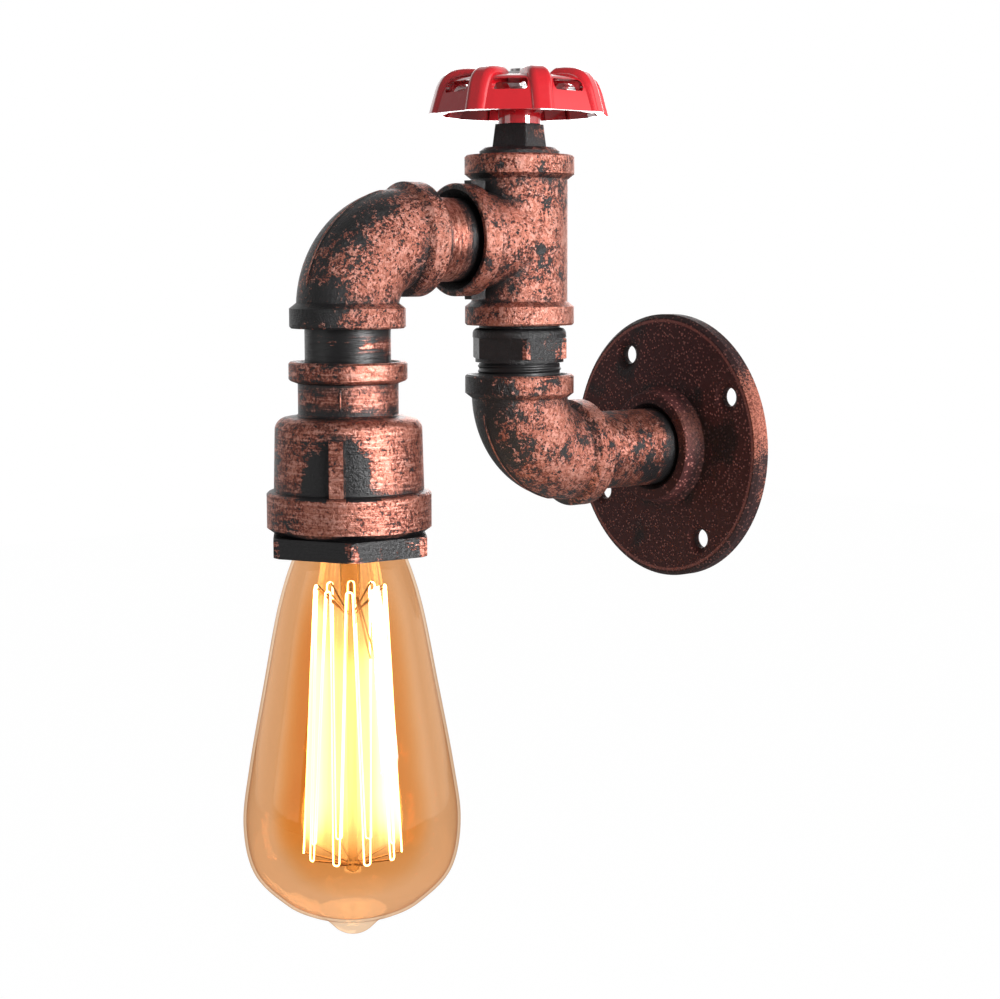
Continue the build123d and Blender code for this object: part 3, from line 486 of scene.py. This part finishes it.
def zinc_finish():
    """Bright zinc plate with fine turning marks and a grey bloom."""
    finish = Finish("zinc_plate", {"Metallic": 1.0})
    place = finish.place()
    bloom = finish.noise(place, 420.0, 4.0, 0.6)
    finish.feed(finish.shader, {
        "Base Color": finish.mix(bloom, (0.42, 0.43, 0.45), (0.68, 0.68, 0.66)),
        "Roughness": 0.22 + bloom * 0.25})
    finish.skin(finish.noise(place, 2400.0), 0.00004)
    return finish


zinc = zinc_finish()
dress("handwheel", enamel_finish())
for name in ("wheel_spindle", "lower_washer", "upper_washer", "wheel_nut"):
    dress(name, zinc)


# ---- lampholder and wiring --------------------------------------------------------------------
# A glazed porcelain holder clamped in the bell, with a pressed nickel-plated screw shell, a
# sprung centre contact and two brass terminals. Two insulated wires run back to the wall.


def porcelain_finish():
    """White glaze with faint specks and a slight ripple."""
    glaze, speck = (0.8, 0.79, 0.75), (0.45, 0.4, 0.34)
    finish = Finish("porcelain", {"Coat Weight": 0.6, "Roughness": 0.3})
    place = finish.place()
    specks = finish.rise(finish.noise(place, 900.0, 3.0, 0.7), 0.66, 0.72)
    finish.feed(finish.shader, {"Base Color": finish.mix(specks * 0.5, glaze, speck)})
    finish.skin(finish.noise(place, 120.0), 0.0001)
    return finish


def metal_finish(name, dull, bright):
    """Plain metal, drawn or pressed, with tarnish in soft patches."""
    finish = Finish(name, {"Metallic": 1.0})
    place = finish.place()
    tarnish = finish.noise(place, 320.0, 4.0, 0.6)
    finish.feed(finish.shader, {
        "Base Color": finish.mix(tarnish, bright, dull),
        "Roughness": 0.18 + tarnish * 0.3})
    finish.skin(finish.noise(place, 1800.0), 0.00003)
    return finish


def wire_finish(name, colour):
    """Smooth insulation with a faint bloom."""
    finish = Finish(name, {"Roughness": 0.45})
    bloom = finish.noise(finish.place(), 500.0, 3.0)
    finish.feed(finish.shader, {"Base Color": finish.mix(bloom * 0.4, colour, (0.4, 0.4, 0.4))})
    return finish


brass = metal_finish("brass", (0.36, 0.22, 0.07), (0.72, 0.5, 0.2))
dress("holder_body", porcelain_finish())
dress("screw_shell", metal_finish("nickel_plate", (0.42, 0.39, 0.34), (0.72, 0.69, 0.62)))
for name in ("centre_contact", "live_terminal", "neutral_terminal"):
    dress(name, brass)
dress("terminal_screws", zinc)
dress("live_wire", wire_finish("brown_insulation", (0.12, 0.045, 0.02)))
dress("neutral_wire", wire_finish("blue_insulation", (0.02, 0.1, 0.4)))


# ---- lamp -------------------------------------------------------------------------------------
# A blown teardrop envelope tinted amber, cemented into a brass screw cap. A glass mount holds
# the filament, one long wire in ten hairpins between two rings of fine hooks.


class MixedFinish(Finish):
    """A finish whose own shader is mixed with others, that are clear or give light."""

    def facing(self):
        """0 where one looks straight at the surface, 1 where one looks along it."""
        return self.node("ShaderNodeLayerWeight", {}, {"Blend": 0.5}, "Facing")

    def height(self, place):
        """How high a place is."""
        return self.node("ShaderNodeSeparateXYZ", {}, {"Vector": place}, "Z")

    def own(self):
        return Value(self, self.shader.outputs[0])

    def clear(self, tint):
        return self.node("ShaderNodeBsdfTransparent", {}, {"Color": tint})

    def light(self, colour, strength):
        return self.node("ShaderNodeEmission", {}, {"Color": colour, "Strength": strength})

    def blend(self, mask, under, over):
        """The shader under, which gives way to the shader over where mask is 1."""
        return self.node("ShaderNodeMixShader", {}, {0: mask, 1: under, 2: over})

    def show(self, shader):
        """Makes a shader the material's surface."""
        self.tree.links.new(shader.socket, self.tree.nodes["Material Output"].inputs["Surface"])


def glass_finish():
    """Amber glass, clear enough to see through: warm at the sides, deeper in a band beside the
    hot filament, a painted glow, more so on the side away from the light, painted shade, and
    brown at the very edge, where one looks along it."""
    finish = MixedFinish("amber_glass", {
        "Base Color": (0.95, 0.82, 0.66), "Roughness": 0.04, "Metallic": 1.0})
    place = finish.place()
    facing = finish.facing()
    film = finish.noise(place, 24.0)
    pale = finish.clear((0.952, 0.80, 0.655))
    deep = finish.clear((0.915, 0.645, 0.33))
    edge = finish.clear((0.87, 0.68, 0.53))
    # A deeper amber band at the filament's height: the filament's glow, painted on the glass.
    mid_height = finish.band(finish.height(place), -0.136, -0.108, -0.060, -0.020)
    heart = (1.0 - finish.rise(facing + (film - 0.5) * 0.2, 0.14, 0.38)) * (0.2 + mid_height * 0.8)
    # Deeper amber on the side away from the lit side: painted shade.
    heart = heart * (0.78 - 0.22 * finish.side(place, LAMP_AXIS, LIT_SIDE))
    tinted = finish.blend(finish.rise(facing, 0.70, 0.97), finish.blend(heart, pale, deep), edge)
    finish.show(finish.blend(0.045 + 0.16 * facing ** 3.0, tinted, finish.own()))
    return finish


def mount_finish():
    """Clear lead glass of the mount, warmed by the light."""
    finish = MixedFinish("mount_glass", {"Roughness": 0.05})
    swirl = finish.noise(finish.place(), 300.0, 3.0)
    finish.feed(finish.shader, {"Base Color": finish.mix(swirl, (0.85, 0.6, 0.3), (0.95, 0.8, 0.55))})
    shine = 0.12 + 0.6 * finish.facing() ** 2.0
    finish.show(finish.blend(shine, finish.clear((0.93, 0.86, 0.7)), finish.own()))
    return finish


def glow_finish():
    """Carbon filament at white heat, a little uneven along its length."""
    finish = Finish("filament_glow", {
        "Base Color": (0.9, 0.6, 0.3), "Emission Strength": 16.0, "Roughness": 0.6})
    heat = finish.noise(finish.place(), 90.0)
    finish.feed(finish.shader, {"Emission Color": finish.mix(heat, (1.0, 0.84, 0.5), (1.0, 0.92, 0.66))})
    return finish


def black_glass_finish():
    """Black glass cone between cap and contact."""
    finish = Finish("black_glass", {"Coat Weight": 0.5})
    swirl = finish.noise(finish.place(), 350.0, 3.0)
    finish.feed(finish.shader, {
        "Base Color": finish.mix(swirl, (0.006, 0.006, 0.008), (0.02, 0.018, 0.016)),
        "Roughness": 0.12 + swirl * 0.15})
    return finish


def haze_finish():
    """The light that spreads round the hot wires: thin over the middle, close to white where
    one looks along the row of strands, in upright bands, and nothing at either end."""
    finish = MixedFinish("filament_haze", {"Roughness": 1.0})
    place = finish.place()
    facing = finish.facing()
    height = finish.height(place)
    strands = finish.noise(finish.moved(place, "MULTIPLY", (420.0, 420.0, 12.0)), 1.0)
    ends = finish.rise(height, -0.122, -0.106) * (1.0 - finish.rise(height, -0.066, -0.052) * 0.72)
    ends = ends * (1.0 - finish.rise(height, -0.050, -0.038))
    thick = (0.34 + 0.5 * finish.rise(facing, 0.03, 0.45)) * (0.45 + strands) * ends
    glow = finish.mix(finish.rise(facing, 0.03, 0.35), (1.0, 0.95, 0.80), (1.0, 0.98, 0.95))
    finish.show(finish.blend(thick, finish.clear((1.0, 1.0, 1.0)), finish.light(glow, 6.5)))
    return finish


def tapering_tube(top, top_radius, foot, foot_radius, rows, columns):
    """A tube round the lamp's axis, whose radius grows evenly from the top to the foot."""
    share = np.linspace(0.0, 1.0, rows)[:, None]
    angle = np.linspace(0, 2 * np.pi, columns, endpoint=False)[None, :]
    radius = top_radius + (foot_radius - top_radius) * share
    height = top + (foot - top) * share + 0 * angle
    return np.stack([radius * np.cos(angle), LAMP_Y + radius * np.sin(angle), height], -1)


haze = closed_surface(
    "filament_haze", tapering_tube(-37.0, 11.6, -122.5, 15.8, rows=40, columns=64), haze_finish())
haze.visible_diffuse = False
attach(haze, "lamp")


def blown_envelope(side_line, shoulder, wall, steps, columns):
    """A turned glass shell: its outside is a smooth curve through a side line of radius and
    height, its inside the same curve moved in by one wall, as far as the drawn-out tip, which
    starts at the line's point number shoulder. Between two points the curve is the cubic that
    leaves each one at the slope between its neighbours."""
    place = np.linspace(0, len(side_line) - 1, steps)
    before = np.clip(place.astype(int), 0, len(side_line) - 2)
    share = (place - before)[:, None]
    slope = np.gradient(side_line, axis=0)
    outside = (side_line[before] * (1 + 2 * share) * (1 - share) ** 2
               + slope[before] * share * (1 - share) ** 2
               + side_line[before + 1] * share ** 2 * (3 - 2 * share)
               + slope[before + 1] * share ** 2 * (share - 1))
    along = np.gradient(outside, axis=0)
    along /= np.linalg.norm(along, axis=1)[:, None]
    inside = outside + np.stack([along[:, 1], -along[:, 0]], -1) * wall
    root = np.searchsorted(-outside[:, 1], -side_line[shoulder, 1])
    closing = np.linspace(1.0, 0.02, 12)[:, None] * (1.0, 0.0)
    inner_floor = closing * inside[root] + (0.0, inside[root, 1])
    shell = np.concatenate([outside[::-1], inside[:root], inner_floor])
    radius, height = shell[:, :1], shell[:, 1:]
    angle = np.linspace(0, 2 * np.pi, columns, endpoint=False)
    points = [radius * np.cos(angle), LAMP_Y + radius * np.sin(angle), height + 0 * angle]
    return np.stack(points, -1)


neck_r = 12.7
side_line = np.array([
    (neck_r, -13.0), (neck_r, -18.0), (neck_r, -20.6), (17.1, -26.0), (22.4, -42.0), (27.5, -68.0),
    (32.3, -94.2), (34.4, -112.0), (31.7, -126.6), (23.2, -136.1), (17.0, -139.9), (11.9, -141.7),
    (9.6, -143.1), (7.4, -145.1), (5.2, -147.2), (2.6, -148.5), (0.25, -148.8)])
glass_shell = blown_envelope(side_line, shoulder=11, wall=0.9, steps=260, columns=128)
envelope = closed_surface("amber_envelope", glass_shell, glass_finish())
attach(envelope, "lamp")
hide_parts("bulb_glass")

cap_brass = metal_finish("cap_brass", (0.34, 0.24, 0.1), (0.66, 0.52, 0.26))
cap_low, cap_high = (corner[2] * 1000 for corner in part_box("bulb_cap"))
cap_wall = screw_thread(
    LAMP_Y, cap_low, cap_high, root=12.25, depth=0.95, pitch=3.62, wall=0.35, shoulder=1.4)
threaded_cap = closed_surface("threaded_cap", cap_wall, cap_brass, ring=True)
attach(threaded_cap, "lamp")
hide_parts("bulb_cap")

fine_wire = metal_finish("fine_wire", (0.2, 0.1, 0.05), (0.5, 0.3, 0.16))
dress("bulb_stem", mount_finish())
dress("filament", glow_finish())
nodes["filament"].visible_diffuse = False
dress("filament_hooks", fine_wire)
dress("lead_wires", fine_wire)
dress("cap_insulator", black_glass_finish())
dress("cap_contact", metal_finish("solder", (0.35, 0.35, 0.36), (0.6, 0.6, 0.6)))


# ---- the light, floor and camera --------------------------------------------------------------
# A plain studio: white all round, one large soft lamp to the right of the camera, weak ones
# to its left and behind the object, and a pale floor well below. The camera stands where the
# photograph was taken.


def soft_lamp(name, place, size, power):
    """A square lamp that faces the light's middle."""
    lamp = bpy.data.lights.new(name, "AREA")
    lamp.size = size
    lamp.energy = power
    stand = bpy.data.objects.new(name, lamp)
    bpy.context.scene.collection.objects.link(stand)
    stand.location = place
    middle = Vector((0.0, -0.09, 0.02))
    stand.rotation_euler = (middle - stand.location).to_track_quat("-Z", "Y").to_euler()


soft_lamp("key_lamp", (1.0, 0.02, 0.19), 0.4, 14.0)
soft_lamp("fill_lamp", (-0.3, -1.0, 0.15), 0.6, 1.0)
soft_lamp("far_lamp", (-0.9, 0.8, 0.3), 0.6, 4.0)


class Studio(Finish):
    """The white room all round, as the world's own nodes."""

    def __init__(self):
        self.material = bpy.data.worlds.new("studio")
        self.material.use_nodes = True
        self.tree = self.material.node_tree
        self.shader = self.tree.nodes["Background"]


def ray(finish, kind):
    """1 for the rays of one kind, such as those from the camera, and 0 for all others."""
    return finish.node("ShaderNodeLightPath", {}, {}, kind)


# What the camera sees and what shows through glass is white. A mirror image shows a dim room
# with white walls behind the object and beside it. The room's own light is weak.
dim_wall, room_light = 0.12, 0.14
room = Studio()
way = room.node("ShaderNodeTexCoord", {}, {}, "Generated")
behind = room.rise(room.towards(way, (-0.75, 0.60, -0.28)), 0.1, 0.8)
beside = room.rise(room.towards(way, (0.80, 0.60, -0.05)), 0.72, 0.95)
mirrored = ray(room, "Is Glossy Ray") * (dim_wall + (1.0 - dim_wall) * (behind | beside))
seen = ray(room, "Is Camera Ray") | ray(room, "Is Transmission Ray")
room.feed(room.shader, {"Color": (1.0, 1.0, 1.0), "Strength": seen | mirrored | room_light})
bpy.context.scene.world = room.material

floor_z, reach = -0.9, 6
corners = [(x * reach, y * reach, floor_z) for x, y in ((-1, -1), (1, -1), (1, 1), (-1, 1))]
floor_mesh = bpy.data.meshes.new("floor")
floor_mesh.from_pydata(corners, [], [(0, 1, 2, 3)])
floor = bpy.data.objects.new("floor", floor_mesh)
bpy.context.scene.collection.objects.link(floor)
pale = MixedFinish("pale_floor", {"Roughness": 0.9})
mottle = pale.noise(pale.place(), 3.0)
pale.feed(pale.shader, {"Base Color": pale.mix(mottle, (0.86, 0.86, 0.86), (0.88, 0.88, 0.88))})
paper = pale.light((1.0, 1.0, 1.0), 1.07)
pale.show(pale.blend(ray(pale, "Is Camera Ray") * 0.92, pale.own(), paper))
floor_mesh.materials.append(pale.material)

camera = bpy.data.objects.new("camera", bpy.data.cameras.new("camera"))
bpy.context.scene.collection.objects.link(camera)
camera.data.lens = 71.67
camera.data.sensor_width = 36.0
camera.data.clip_start = 0.05
camera.data.clip_end = 50.0
right = Vector((0.62897, 0.77743, -0.0011))
up = Vector((-0.08828, 0.07284, 0.99343))
back = Vector((0.77240, -0.62474, 0.11444))
turn = Matrix((right, up, back)).transposed().to_4x4()
camera.matrix_world = Matrix.Translation((0.50943, -0.49158, 0.06160)) @ turn
bpy.context.scene.camera = camera
bpy.context.scene.view_settings.view_transform = "Standard"
